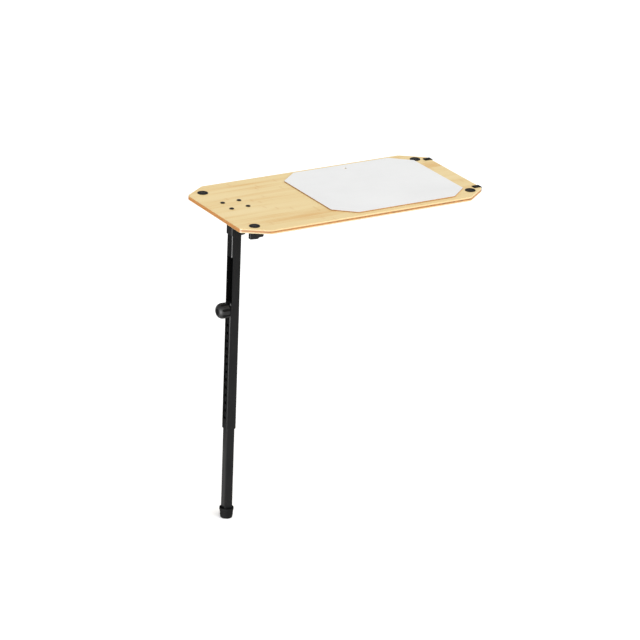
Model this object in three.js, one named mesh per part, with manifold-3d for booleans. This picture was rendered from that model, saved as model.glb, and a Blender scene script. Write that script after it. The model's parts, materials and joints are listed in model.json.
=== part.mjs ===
// Overbed table top on one folding, telescoping leg.
// Millimetres, +Z up. The origin is the centre of the foot's sole, +X runs along the tray to its
// free end, +Y to the tray's far long side.
import * as THREE from "three";
import { mergeVertices } from "three/addons/utils/BufferGeometryUtils.js";
import Module from "manifold-3d";

const wasm = await Module();
wasm.setup();

// Driving dimensions
const tableHeight = 918;
const gap = 0.3;
const roundSegments = 20;
const screwSegments = 12;

// Each board's corner cuts are [along X, along Y].
const tray = {
  left: -80.5, right: 681, near: -214, far: 167.5, thickness: 12, edge: 1.2, ease: 6,
  cuts: { nearLeft: [70, 46], nearRight: [68, 52.2], farRight: [67, 48.3], farLeft: [68, 49] },
};
const panelCut = [57, 48];
const panel = {
  left: 210, right: 628, near: -196, far: 152, thickness: 3, edge: 0.5, ease: 3,
  cuts: { nearLeft: panelCut, nearRight: panelCut, farRight: panelCut, farLeft: panelCut },
  holeX: 417, holeFromFar: 27, holeRadius: 4.5,
};
const cornerPad = {
  left: -35.5, right: 639.5, near: -167, far: 117,
  radius: 14.7, height: 1.4, screwRadius: 2.2, screwLength: 10,
};
const edgeClip = {
  length: 21, width: 15.5, thickness: 2, centres: { near: -149.5, far: 102 }, screwFromEnd: 12,
};

const plate = { left: -42, right: 66, halfWidth: 42, thickness: 3, corner: 9 };
const plateBolt = { offset: 25, radius: 3, headRadius: 6.5, headHeight: 2.6, nutFlats: 10, nutHeight: 5 };

const pivot = { x: 40.5, z: 847, radius: 4, clearance: 0.3 };
const cheek = { inner: 12.4, thickness: 3, lobe: 8.5, topLeft: 28, topRight: 58 };
const ear = { halfWidth: 10.5, lobe: 8.2 };
const head = {
  left: -17.4, right: 16.4, halfY: 16.4, bottom: 835.5, skirt: 852, corner: 4.5, roof: 4.5,
  pinZ: 882, pinRadius: 2.5,
};

const outer = { width: 30, wall: 1.2, corner: 5, bottom: 270.5, top: 897 };
const upperSlot = { bottom: 640, top: 772.5, near: -16, far: 7.5, depth: 4.4 };
const lowerSlot = { bottom: 297.5, top: 593.5, near: -7.25, far: 7.25, depth: 2.2 };
const inner = { width: 25, wall: 1.5, corner: 4, bottom: 12.3, top: 637 };
const rung = { pitch: 22.8, count: 15, width: 12, height: 7 };
const glideHeight = 4;
const lockZ = 618;

const knob = {
  radius: 21.8, length: 28.8, rear: 18, grooves: 8, grooveRadius: 3, grooveOut: 0.6, grooveLength: 23,
  capRadius: 7.6,
};
const lever = { back: 37.5, front: 48, armBack: 40, edge: 0.8, ease: 2.6, neckRadius: 7 };
const plunger = { pinRadius: 3, stemRadius: 2, collarRadius: 4.3, travel: 5, housingRadius: 7 };
const foot = { rimRadius: 20, soleRadius: 17.4, height: 30, floor: 8, wall: 2 };

const finishes = {
  bamboo: { color: 0xe3c48c, roughness: 0.5, metalness: 0 },
  whiteBoard: { color: 0xebecee, roughness: 0.35, metalness: 0 },
  blackPaint: { color: 0x1d1d1f, roughness: 0.42, metalness: 0.3 },
  blackPlastic: { color: 0x232325, roughness: 0.5, metalness: 0 },
  blackScrew: { color: 0x18181a, roughness: 0.38, metalness: 0.8 },
  zincSteel: { color: 0xa9acb0, roughness: 0.32, metalness: 1 },
  nylon: { color: 0xd9d6cc, roughness: 0.55, metalness: 0 },
  rubber: { color: 0x171718, roughness: 0.85, metalness: 0 },
};

const group = new THREE.Group();

// A closed geometry as a solid that can be joined and cut.
function solid(geometry) {
  const bare = geometry.index ? geometry.clone() : geometry;
  bare.deleteAttribute("normal");
  bare.deleteAttribute("uv");
  const merged = mergeVertices(bare, 1e-4);
  return new wasm.Manifold(
    new wasm.Mesh({
      numProp: 3,
      vertProperties: merged.attributes.position.array,
      triVerts: new Uint32Array(merged.index.array),
    }),
  );
}

function add(name, shape, finishName) {
  const made = shape.getMesh();
  const geometry = new THREE.BufferGeometry();
  geometry.setAttribute("position", new THREE.BufferAttribute(made.vertProperties, made.numProp));
  geometry.setIndex(new THREE.BufferAttribute(made.triVerts, 1));
  geometry.computeVertexNormals();
  const mesh = new THREE.Mesh(geometry, new THREE.MeshStandardMaterial(finishes[finishName]));
  mesh.name = name;
  group.add(mesh);
}

// Outlines

function polygon(points) {
  return new THREE.Shape(points.map(([x, y]) => new THREE.Vector2(x, y)));
}

// A polygon whose corners are eased by a short curve.
function easedPolygon(points, ease) {
  const shape = new THREE.Shape();
  const corners = points.map(([x, y]) => new THREE.Vector2(x, y));
  corners.forEach((corner, i) => {
    const before = corners[(i + corners.length - 1) % corners.length];
    const after = corners[(i + 1) % corners.length];
    const start = corner.clone().add(before.clone().sub(corner).setLength(ease));
    const end = corner.clone().add(after.clone().sub(corner).setLength(ease));
    if (i === 0) {
      shape.moveTo(start.x, start.y);
    } else {
      shape.lineTo(start.x, start.y);
    }
    shape.quadraticCurveTo(corner.x, corner.y, end.x, end.y);
  });
  shape.closePath();
  return shape;
}

// A rectangle with its four corners cut off.
function cutCornerOutline({ left, right, near, far, cuts, ease }) {
  const { nearLeft, nearRight, farRight, farLeft } = cuts;
  return easedPolygon([
    [left + nearLeft[0], near], [right - nearRight[0], near],
    [right, near + nearRight[1]], [right, far - farRight[1]],
    [right - farRight[0], far], [left + farLeft[0], far],
    [left, far - farLeft[1]], [left, near + nearLeft[1]],
  ], ease);
}

function roundedOutline(left, right, near, far, radius) {
  const shape = new THREE.Shape();
  shape.absarc(right - radius, near + radius, radius, -Math.PI / 2, 0);
  shape.absarc(right - radius, far - radius, radius, 0, Math.PI / 2);
  shape.absarc(left + radius, far - radius, radius, Math.PI / 2, Math.PI);
  shape.absarc(left + radius, near + radius, radius, Math.PI, Math.PI * 1.5);
  return shape;
}

function squareOutline(width, radius) {
  return roundedOutline(-width / 2, width / 2, -width / 2, width / 2, radius);
}

// Solids

// An outline in X and Y, from one height to another.
function upright(outline, bottom, top, curveSegments = 3) {
  const geometry = new THREE.ExtrudeGeometry(outline, {
    depth: top - bottom, bevelEnabled: false, curveSegments,
  });
  return solid(geometry.translate(0, 0, bottom));
}

// The same, with its top and bottom edges eased.
function easedBoard(outline, bottom, top, edge) {
  const geometry = new THREE.ExtrudeGeometry(outline, {
    depth: top - bottom - 2 * edge, bevelThickness: edge, bevelSize: edge, bevelOffset: -edge,
    bevelSegments: 1, curveSegments: 3,
  });
  return solid(geometry.translate(0, 0, bottom + edge));
}

// An outline in X and Z, from one Y to another.
function sideways(outline, near, far, curveSegments = 7) {
  const geometry = new THREE.ExtrudeGeometry(outline, {
    depth: far - near, bevelEnabled: false, curveSegments,
  });
  return solid(geometry.rotateX(Math.PI / 2).translate(0, far, 0));
}

function easedSideways(outline, near, far, edge) {
  const geometry = new THREE.ExtrudeGeometry(outline, {
    depth: far - near - 2 * edge, bevelThickness: edge, bevelSize: edge, bevelOffset: -edge,
    bevelSegments: 1, curveSegments: 3,
  });
  return solid(geometry.rotateX(Math.PI / 2).translate(0, far - edge, 0));
}

// A turned shape: [radius, height] pairs from the bottom up, about an axis through a place.
function turned(profile, place, axis = [0, 0, 1], segments = roundSegments) {
  const geometry = new THREE.LatheGeometry(profile.map(([r, h]) => new THREE.Vector2(r, h)), segments);
  const turn = new THREE.Quaternion().setFromUnitVectors(
    new THREE.Vector3(0, 1, 0), new THREE.Vector3(...axis),
  );
  return solid(geometry.applyQuaternion(turn).translate(...place));
}

function rod(radius, low, high, place, axis, segments) {
  return turned([[0, low], [radius, low], [radius, high], [0, high]], place, axis, segments);
}

// A screw's or a screw hole's upright cylinder.
function screwRod(radius, low, high, place) {
  return rod(radius, low, high, place, [0, 0, 1], screwSegments);
}

function ring(innerRadius, outerRadius, low, high, place, axis) {
  const section = [
    [innerRadius, low], [outerRadius, low], [outerRadius, high], [innerRadius, high], [innerRadius, low],
  ];
  return turned(section, place, axis);
}

function box(left, right, near, far, bottom, top) {
  const geometry = new THREE.BoxGeometry(right - left, far - near, top - bottom);
  return solid(geometry.translate((left + right) / 2, (near + far) / 2, (bottom + top) / 2));
}

// A hexagonal bar along an axis, from a place.
function hexBar(flats, low, high, place, axis = [0, 0, 1]) {
  const corner = flats / Math.sqrt(3);
  return turned([[0, low], [corner, low], [corner, high], [0, high]], place, axis, 6);
}

function squareTube({ width, wall, corner, bottom, top }) {
  const outside = upright(squareOutline(width, corner), bottom, top);
  const hollow = squareOutline(width - 2 * wall, corner - wall);
  return outside.subtract(upright(hollow, bottom - 1, top + 1));
}

// Tray

const trayTop = tableHeight;
const trayBottom = tableHeight - tray.thickness;
const onTop = trayTop + gap;

const corners = [
  ["near_left", cornerPad.left, cornerPad.near],
  ["near_right", cornerPad.right, cornerPad.near],
  ["far_left", cornerPad.left, cornerPad.far],
  ["far_right", cornerPad.right, cornerPad.far],
];
const boltPlaces = [
  ["near_left", -plateBolt.offset, -plateBolt.offset],
  ["near_right", plateBolt.offset, -plateBolt.offset],
  ["far_left", -plateBolt.offset, plateBolt.offset],
  ["far_right", plateBolt.offset, plateBolt.offset],
];
const clipScrewX = tray.right - edgeClip.screwFromEnd;

function trayBoard() {
  let board = easedBoard(cutCornerOutline(tray), trayBottom, trayTop, tray.edge);
  const blindDepth = cornerPad.screwLength + 1;
  for (const [, x, y] of corners) {
    board = board.subtract(screwRod(cornerPad.screwRadius + gap, -blindDepth, 1, [x, y, trayTop]));
  }
  for (const [, x, y] of boltPlaces) {
    board = board.subtract(screwRod(plateBolt.radius + gap, -tray.thickness - 1, 1, [x, y, trayTop]));
  }
  for (const y of Object.values(edgeClip.centres)) {
    board = board.subtract(screwRod(cornerPad.screwRadius + gap, -blindDepth, 1, [clipScrewX, y, trayTop]));
  }
  add("tray_board", board, "bamboo");
}

function writingPanel() {
  const sheet = easedBoard(cutCornerOutline(panel), onTop, onTop + panel.thickness, panel.edge);
  const hangHole = rod(panel.holeRadius, -1, panel.thickness + 1,
    [panel.holeX, panel.far - panel.holeFromFar, onTop]);
  add("writing_panel", sheet.subtract(hangHole), "whiteBoard");
}

// A countersunk screw whose head sits in a dished pad.
function countersunkScrew(name, x, y, top, reach) {
  const { screwRadius } = cornerPad;
  const headRadius = 5.2;
  const headDepth = 1.1;
  const shape = turned([
    [0, -reach], [screwRadius * 0.5, -reach], [screwRadius, 2 - reach], [screwRadius, -headDepth],
    [headRadius, -0.35], [headRadius, -0.2], [2.4, 0], [0, 0],
  ], [x, y, top], [0, 0, 1], screwSegments);
  const crossArm = 3.2;
  const crossHalf = 0.55;
  const crossDepth = 0.8;
  const cross = box(x - crossArm, x + crossArm, y - crossHalf, y + crossHalf, top - crossDepth, top + 1)
    .add(box(x - crossHalf, x + crossHalf, y - crossArm, y + crossArm, top - crossDepth, top + 1));
  add(name, shape.subtract(cross), "blackScrew");
}

function cornerPads() {
  const { radius, height, screwRadius, screwLength } = cornerPad;
  for (const [where, x, y] of corners) {
    const dished = turned([
      [screwRadius + gap, 0], [radius, 0], [radius, height - 0.7], [radius - 0.8, height],
      [8.2, height], [6.4, height - 0.4], [5.8, height - 0.4], [5.8, height - 0.8],
      [screwRadius + gap, 0],
    ], [x, y, onTop]);
    add(`corner_pad_${where}`, dished, "blackPlastic");
    countersunkScrew(`corner_screw_${where}`, x, y, onTop + height - 0.2, screwLength + height - 0.4);
  }
}

// A U of sheet metal wrapped round the free end of the board.
function edgeClips() {
  const { length, width, thickness, centres } = edgeClip;
  const left = tray.right - length;
  const inside = tray.right + gap;
  const low = trayBottom - gap;
  for (const [where, y] of Object.entries(centres)) {
    const section = polygon([
      [left, onTop], [inside, onTop], [inside, low], [left, low], [left, low - thickness],
      [inside + 0.8, low - thickness], [inside + thickness, low - thickness + 1.2],
      [inside + thickness, onTop + thickness - 1.2], [inside + 0.8, onTop + thickness],
      [left + 0.8, onTop + thickness], [left, onTop + thickness - 0.8],
    ]);
    const seat = screwRod(cornerPad.screwRadius + gap, -1, thickness + 1, [clipScrewX, y, onTop]);
    const sink = screwRod(5.4, thickness - 1.1, thickness + 1, [clipScrewX, y, onTop]);
    const clip = sideways(section, y - width / 2, y + width / 2).subtract(seat).subtract(sink);
    add(`edge_clip_${where}`, clip, "blackPaint");
    const screw = turned([
      [0, -9], [1.4, -9], [cornerPad.screwRadius, -7], [cornerPad.screwRadius, 1.2],
      [4.8, 1.2], [4.8, 1.7], [2.6, 2.4], [0, 2.4],
    ], [clipScrewX, y, onTop], [0, 0, 1], screwSegments);
    add(`clip_screw_${where}`, screw, "blackScrew");
  }
}

// Bracket under the tray

const plateTop = trayBottom - gap;
const plateBottom = plateTop - plate.thickness;

function plateFasteners() {
  const { radius, headRadius, headHeight, nutFlats, nutHeight } = plateBolt;
  const nutTop = plateBottom - gap;
  const tip = nutTop - nutHeight - 2 - onTop;
  for (const [where, x, y] of boltPlaces) {
    const bolt = turned([
      [0, tip], [radius - 0.7, tip], [radius, tip + 0.7], [radius, 0], [headRadius, 0],
      [headRadius, headHeight * 0.35], [headRadius * 0.8, headHeight * 0.8],
      [headRadius * 0.45, headHeight], [0, headHeight],
    ], [x, y, onTop], [0, 0, 1], 16);
    const socket = hexBar(4, headHeight - 1.6, headHeight + 1, [x, y, onTop]);
    add(`plate_bolt_${where}`, bolt.subtract(socket), "blackScrew");
    const flange = screwRod(7, nutTop - 1.2, nutTop, [x, y, 0]);
    const hex = hexBar(nutFlats, nutTop - nutHeight, nutTop - 0.6, [x, y, 0]);
    const thread = screwRod(radius + gap, nutTop - nutHeight - 1, nutTop + 1, [x, y, 0]);
    add(`plate_nut_${where}`, flange.add(hex).subtract(thread), "zincSteel");
  }
}

// One cheek or ear: a round lobe about the pivot with straight sides up to a top edge.
function lobeOutline(lobe, topLeft, topRight, top) {
  const shape = new THREE.Shape();
  const leftAngle = Math.PI * 1.03;
  const rightAngle = Math.PI * 2.08;
  shape.moveTo(topRight, top);
  shape.lineTo(topLeft, top);
  shape.absarc(pivot.x, pivot.z, lobe, leftAngle, rightAngle);
  return shape;
}

function legBracket() {
  const { left, right, halfWidth, corner } = plate;
  let bracket = upright(roundedOutline(left, right, -halfWidth, halfWidth, corner), plateBottom, plateTop);
  const side = lobeOutline(cheek.lobe, cheek.topLeft, cheek.topRight, plateBottom + 1);
  bracket = bracket
    .add(sideways(side, cheek.inner, cheek.inner + cheek.thickness))
    .add(sideways(side, -cheek.inner - cheek.thickness, -cheek.inner));
  for (const [, x, y] of boltPlaces) {
    bracket = bracket.subtract(screwRod(plateBolt.radius + gap, plateBottom - 1, plateTop + 1, [x, y, 0]));
  }
  const pivotHole = rod(pivot.radius + gap, -30, 30, [pivot.x, 0, pivot.z], [0, 1, 0]);
  add("leg_bracket", bracket.subtract(pivotHole), "blackPaint");
}

// Fold pivot: a bolt from the far side, clamped by the lever on the near side

const washer = { thickness: 1.6, radius: 8.4 };
const cheekOuter = cheek.inner + cheek.thickness;
const pivotPlace = [pivot.x, 0, pivot.z];
const nearward = [0, -1, 0];
const leverBack = cheekOuter + 2 * gap + washer.thickness;
const leverBoreEnd = lever.front - 4;

function foldPivot() {
  const bore = pivot.radius + pivot.clearance;
  const headNear = -cheekOuter - 2 * gap - washer.thickness;
  const shankEnd = leverBoreEnd - 1;
  const shank = turned([
    [0, headNear - 0.1], [pivot.radius, headNear - 0.1], [pivot.radius, shankEnd - 1],
    [pivot.radius - 1, shankEnd], [0, shankEnd],
  ], pivotPlace, nearward);
  const headBlock = hexBar(13, headNear - 5.5, headNear, pivotPlace, nearward);
  add("pivot_bolt", shank.add(headBlock), "zincSteel");
  const nearWasher = [cheekOuter + gap, cheekOuter + gap + washer.thickness];
  const farWasher = [-nearWasher[1], -nearWasher[0]];
  const rubWasher = [ear.halfWidth + gap, cheek.inner - gap];
  add("pivot_washer_near", ring(bore, washer.radius, ...nearWasher, pivotPlace, nearward), "zincSteel");
  add("pivot_washer_far", ring(bore, washer.radius, ...farWasher, pivotPlace, nearward), "zincSteel");
  add("friction_washer_near", ring(bore, ear.lobe, ...rubWasher, pivotPlace, nearward), "nylon");
  add("friction_washer_far", ring(bore, ear.lobe, -rubWasher[1], -rubWasher[0],
    pivotPlace, nearward), "nylon");
}

// The clamp lever: a grip on the bolt's near end with a short arm towards the free end.
function foldLever() {
  const { back, front, armBack, edge, ease, neckRadius } = lever;
  const aboutPivot = (points) => easedPolygon(points.map(([x, z]) => [pivot.x + x, pivot.z + z]), ease);
  const grip = aboutPivot([[-18.6, 9], [-19.2, -16.6], [5.5, -18.4], [10, -14], [10, 8], [3, 13], [-12, 13]]);
  const arm = aboutPivot([[3, -15.2], [23, -14.2], [23, -1], [3, 9]]);
  const block = easedSideways(grip, -front, -back, edge);
  const reach = easedSideways(arm, -front + 0.5, -armBack, edge);
  const neck = turned([[0, leverBack], [neckRadius, leverBack], [neckRadius, back + 2], [0, back + 2]],
    pivotPlace, nearward);
  const bore = rod(pivot.radius + gap, leverBack - 1, leverBoreEnd, pivotPlace, nearward);
  const capSeat = rod(5.3, front - 2, front + 1, pivotPlace, nearward);
  add("fold_lever", block.add(reach).add(neck).subtract(bore).subtract(capSeat), "blackPlastic");
  const cap = turned([[0, front - 1.7], [5, front - 1.7], [5, front - 0.6], [4.4, front - 0.2],
    [0, front - 0.2]], pivotPlace, nearward);
  add("fold_lever_cap", cap, "blackPlastic");
}

// Upper leg

// The head's skirt reaches down on the left, and on the right only between the ears.
function legHead() {
  const { left, right, halfY, bottom, skirt, corner, roof, pinZ, pinRadius } = head;
  const top = plateBottom - gap;
  let block = upright(roundedOutline(left, right, -halfY, halfY, corner), bottom, top, 3);
  const arm = new THREE.Shape();
  arm.moveTo(right - 0.6, bottom - 3.5);
  arm.lineTo(right + 9, bottom - 2.5);
  arm.lineTo(pivot.x - 7.2, pivot.z - 5.5);
  arm.absarc(pivot.x, pivot.z, ear.lobe, Math.PI * 1.35, Math.PI * 2.3);
  arm.lineTo(right - 0.6, top - 10);
  block = block.add(sideways(arm, -ear.halfWidth, ear.halfWidth));
  const socket = squareOutline(outer.width + 2 * gap, outer.corner + gap);
  block = block
    .subtract(upright(socket, bottom - 1, top - roof))
    .subtract(box(left + 3.5, right + 0.4, -halfY - 1, -ear.halfWidth - 1, bottom - 1, skirt))
    .subtract(box(left + 3.5, right + 0.4, ear.halfWidth + 1, halfY + 1, bottom - 1, skirt))
    .subtract(rod(pinRadius + gap, -halfY - 1, halfY + 1, [0, 0, pinZ], [0, 1, 0]))
    .subtract(rod(pivot.radius + pivot.clearance, -30, 30, pivotPlace, [0, 1, 0]));
  add("leg_head", block, "blackPlastic");
  add("head_pin", rod(pinRadius, -halfY, halfY, [0, 0, pinZ], [0, 1, 0]), "blackScrew");
}

// A slot cut in from the tube's left face.
function slotCut({ bottom, top, near, far, depth }) {
  const face = -outer.width / 2;
  return box(face - 1, face + depth, near, far, bottom, top);
}

function outerTube() {
  const { width } = outer;
  const tube = squareTube(outer)
    .subtract(slotCut(upperSlot))
    .subtract(slotCut(lowerSlot))
    .subtract(rod(plunger.housingRadius - 1 + gap, 10, 20, [0, 0, lockZ], [-1, 0, 0]))
    .subtract(rod(head.pinRadius + gap, -width, width, [0, 0, head.pinZ], [0, 1, 0]));
  add("outer_tube", tube, "blackPaint");
}

function lowerBush() {
  const cavity = outer.width - 2 * outer.wall;
  const passage = squareOutline(inner.width + 0.4, inner.corner + 0.2);
  const sleeve = upright(squareOutline(cavity - 0.3, outer.corner - outer.wall), outer.bottom - 0.3,
    outer.bottom + 24);
  const flange = upright(squareOutline(outer.width - 0.4, outer.corner), outer.bottom - 2,
    outer.bottom - 0.3);
  const bush = sleeve.add(flange).subtract(upright(passage, outer.bottom - 5, outer.bottom + 30));
  add("lower_bush", bush, "blackPlastic");
}

// Height lock: a sprung pin in a housing on the tube's left face, pulled by a knob

const lockPlace = [0, 0, lockZ];
const outward = [-1, 0, 0];
const housing = { front: 13.9, flange: 15.3, flangeBack: 17.6, back: 34, springEnd: 31.6 };
const collar = { front: 16.6, back: 18 };

function plungerHousing() {
  const { housingRadius, pinRadius, stemRadius, collarRadius } = plunger;
  const shell = turned([
    [0, housing.front], [housingRadius - 1, housing.front], [housingRadius - 1, housing.flange],
    [9.5, housing.flange], [9.5, housing.flangeBack], [housingRadius, housing.flangeBack],
    [housingRadius, housing.back - 0.8], [housingRadius - 0.8, housing.back], [0, housing.back],
  ], lockPlace, outward);
  const cavity = rod(collarRadius + gap, collar.front - gap, housing.springEnd, lockPlace, outward);
  const pinHole = rod(pinRadius + gap, housing.front - 1, collar.front, lockPlace, outward);
  const stemHole = rod(stemRadius + gap, housing.springEnd - 1, housing.back + 1, lockPlace, outward);
  add("plunger_housing", shell.subtract(cavity).subtract(pinHole).subtract(stemHole), "zincSteel");
}

const knobFace = knob.rear + knob.length;

function plungerPin() {
  const { pinRadius, stemRadius, collarRadius } = plunger;
  const tip = inner.width / 2 + gap;
  const stemEnd = knobFace - 4.2;
  const pin = turned([
    [0, tip], [pinRadius - 0.8, tip], [pinRadius, tip + 0.8], [pinRadius, collar.front],
    [collarRadius, collar.front], [collarRadius, collar.back], [stemRadius, collar.back],
    [stemRadius, stemEnd], [0, stemEnd],
  ], lockPlace, outward);
  add("plunger_pin", pin, "zincSteel");
}

// A round wire wound about the pin's stem.
class Coil extends THREE.Curve {
  getPoint(t) {
    const wire = 0.4;
    const radius = plunger.stemRadius + gap + wire;
    const turns = 5;
    const angle = t * turns * Math.PI * 2;
    const start = collar.back + gap + wire;
    const end = housing.springEnd - gap - wire;
    const along = start + (end - start) * t;
    return new THREE.Vector3(-along, radius * Math.cos(angle), radius * Math.sin(angle));
  }
}

function plungerSpring() {
  const wire = new THREE.Shape();
  wire.absarc(0, 0, 0.4, 0, Math.PI * 2);
  const geometry = new THREE.ExtrudeGeometry(wire, {
    steps: 50, extrudePath: new Coil(), bevelEnabled: false, curveSegments: 2,
  });
  add("plunger_spring", solid(geometry.translate(0, 0, lockZ)), "zincSteel");
}

// A domed knob with narrow grooves along its side, hollow at the back round the plunger's housing.
function heightKnob() {
  const { radius, rear, grooves, grooveRadius, grooveOut, grooveLength, capRadius } = knob;
  const segments = 32;
  let body = turned([
    [0, rear], [radius - 1, rear], [radius, rear + 1], [radius, rear + 14], [radius - 1, rear + 18.5],
    [radius - 3, rear + 22.5], [radius - 5.8, rear + 25.8], [radius - 8.8, rear + 28],
    [radius - 10.8, knobFace], [0, knobFace],
  ], lockPlace, outward, segments);
  for (let i = 0; i < grooves; i++) {
    const angle = (i + 0.5) / grooves * Math.PI * 2;
    const reach = radius + grooveOut;
    const place = [0, reach * Math.cos(angle), lockZ + reach * Math.sin(angle)];
    body = body.subtract(rod(grooveRadius, rear - 1, rear + grooveLength, place, outward, 8));
  }
  const cavity = rod(9.9, rear - 1, housing.back + 1, lockPlace, outward);
  const stemBore = rod(plunger.stemRadius + gap, housing.back, knobFace - 3.6, lockPlace, outward);
  const capSeat = rod(capRadius + gap, knobFace - 2.6, knobFace + 1, lockPlace, outward);
  add("height_knob", body.subtract(cavity).subtract(stemBore).subtract(capSeat), "blackPlastic");
  const cap = turned([
    [0, knobFace - 2.3], [capRadius, knobFace - 2.3], [capRadius, knobFace - 1.6],
    [capRadius - 0.8, knobFace - 1.2], [0, knobFace - 1.2],
  ], lockPlace, outward);
  add("height_knob_cap", cap, "blackPlastic");
}

// Lower leg

function innerTube() {
  const { width, wall } = inner;
  let tube = squareTube(inner);
  const half = rung.width / 2;
  for (let i = 0; i < rung.count; i++) {
    const z = lockZ - i * rung.pitch;
    tube = tube.subtract(box(-width / 2 - 1, -width / 2 + wall + 1, -half, half,
      z - rung.height / 2, z + rung.height / 2));
  }
  add("inner_tube", tube, "blackPaint");
}

// The outline of a plug that fits inside a square tube.
function plugOutline({ width, wall, corner }) {
  return squareOutline(width - 2 * wall - 0.4, corner - wall + 0.1);
}

function topGlide() {
  const stem = upright(plugOutline(inner), inner.top - 8, inner.top + gap + 1);
  const flange = upright(plugOutline(outer), inner.top + gap, inner.top + glideHeight);
  add("top_glide", stem.add(flange), "blackPlastic");
}

function footPlug() {
  const stem = upright(plugOutline(inner), inner.bottom - gap - 1, inner.bottom + 20);
  const flange = rod(16, foot.floor + gap, inner.bottom - gap, [0, 0, 0]);
  add("foot_plug", stem.add(flange), "blackPlastic");
}

function rubberFoot() {
  const { rimRadius, soleRadius, height, floor, wall } = foot;
  const cup = turned([
    [0, 0], [soleRadius - 2.5, 0], [soleRadius - 0.7, 0.8], [soleRadius, 2.6],
    [rimRadius - 0.8, height - 7], [rimRadius, height - 6], [rimRadius, height - 0.8],
    [rimRadius - 0.8, height], [rimRadius - wall, height], [rimRadius - wall, floor], [0, floor],
  ], [0, 0, 0]);
  add("rubber_foot", cup, "rubber");
}

trayBoard();
writingPanel();
cornerPads();
edgeClips();
plateFasteners();
legBracket();
foldPivot();
foldLever();
legHead();
outerTube();
lowerBush();
plungerHousing();
plungerPin();
plungerSpring();
heightKnob();
innerTube();
topGlide();
footPlug();
rubberFoot();

export default group;
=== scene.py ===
import json
import math
import bpy
from mathutils import Matrix, Vector


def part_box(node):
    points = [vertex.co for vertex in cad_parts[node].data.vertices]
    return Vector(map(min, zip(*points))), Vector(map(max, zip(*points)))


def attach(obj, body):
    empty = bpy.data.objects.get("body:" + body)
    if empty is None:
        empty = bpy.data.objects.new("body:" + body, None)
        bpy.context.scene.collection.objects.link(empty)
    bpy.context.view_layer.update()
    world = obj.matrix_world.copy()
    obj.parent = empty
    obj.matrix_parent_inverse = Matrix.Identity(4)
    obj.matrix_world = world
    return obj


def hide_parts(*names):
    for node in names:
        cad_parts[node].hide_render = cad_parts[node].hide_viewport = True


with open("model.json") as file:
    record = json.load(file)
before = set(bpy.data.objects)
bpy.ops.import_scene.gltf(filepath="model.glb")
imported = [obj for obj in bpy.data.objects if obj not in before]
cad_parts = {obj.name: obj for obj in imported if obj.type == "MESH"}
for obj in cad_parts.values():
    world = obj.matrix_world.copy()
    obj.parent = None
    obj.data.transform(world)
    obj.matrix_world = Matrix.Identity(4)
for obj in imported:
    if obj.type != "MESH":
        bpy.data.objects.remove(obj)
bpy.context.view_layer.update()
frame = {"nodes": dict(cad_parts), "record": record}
nodes = frame["nodes"]
print("loaded", len(nodes), "nodes")

mm = 0.001
deg = math.radians


# helpers for one piece at a time

def pickOnly(piece):
    if bpy.context.object and bpy.context.object.mode != "OBJECT":
        bpy.ops.object.mode_set(mode="OBJECT")
    bpy.ops.object.select_all(action="DESELECT")
    piece.select_set(True)
    bpy.context.view_layer.objects.active = piece


def startEdit(piece, mode="FACE"):
    pickOnly(piece)
    bpy.ops.object.mode_set(mode="EDIT")
    bpy.ops.mesh.select_mode(type=mode)


def endEdit():
    bpy.ops.object.mode_set(mode="OBJECT")


def addPlane(name, left, right, near, far, z):
    bpy.ops.object.select_all(action="DESELECT")
    bpy.ops.mesh.primitive_plane_add(size=1, location=((left + right) / 2, (near + far) / 2, z))
    piece = bpy.context.object
    piece.name = name
    piece.scale = (right - left, far - near, 1)
    bpy.ops.object.transform_apply(location=True, rotation=True, scale=True)
    return piece


def addBlock(name, low, high):
    bpy.ops.object.select_all(action="DESELECT")
    middle = (Vector(low) + Vector(high)) / 2
    bpy.ops.mesh.primitive_cube_add(size=1, location=middle)
    piece = bpy.context.object
    piece.name = name
    piece.scale = Vector(high) - Vector(low)
    bpy.ops.object.transform_apply(location=True, rotation=True, scale=True)
    return piece


def useModifier(piece, kind, **settings):
    pickOnly(piece)
    modifier = piece.modifiers.new(kind.title(), kind)
    for key, value in settings.items():
        setattr(modifier, key, value)
    bpy.ops.object.modifier_apply(modifier=modifier.name)


def cutAway(piece, *cutters):
    for cutter in cutters:
        useModifier(piece, "BOOLEAN", operation="DIFFERENCE", solver="EXACT", object=cutter)
        bpy.data.objects.remove(cutter)


def easeEdges(piece, width, segments=2, angle=40, material=-1):
    useModifier(piece, "BEVEL", width=width, segments=segments, limit_method="ANGLE",
                angle_limit=deg(angle), material=material, harden_normals=False)


def smooth(piece, angle=38):
    pickOnly(piece)
    bpy.ops.object.shade_smooth_by_angle(angle=deg(angle))
    useModifier(piece, "WEIGHTED_NORMAL", mode="FACE_AREA", weight=80, keep_sharp=True)


def facesOut(piece):
    startEdit(piece)
    bpy.ops.mesh.select_all(action="SELECT")
    bpy.ops.mesh.remove_doubles(threshold=1e-6)
    bpy.ops.mesh.normals_make_consistent(inside=False)
    endEdit()


def dress(piece, material):
    piece.data.materials.clear()
    for each in material if isinstance(material, (list, tuple)) else [material]:
        piece.data.materials.append(each)


def settle(piece, body, slotName, *replaced):
    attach(piece, body)
    if replaced:
        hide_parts(*replaced)


def copyTo(piece, name, offset):
    twin = piece.copy()
    twin.data = piece.data.copy()
    twin.name = name
    bpy.context.scene.collection.objects.link(twin)
    twin.data.transform(Matrix.Translation(offset))
    return twin


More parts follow.
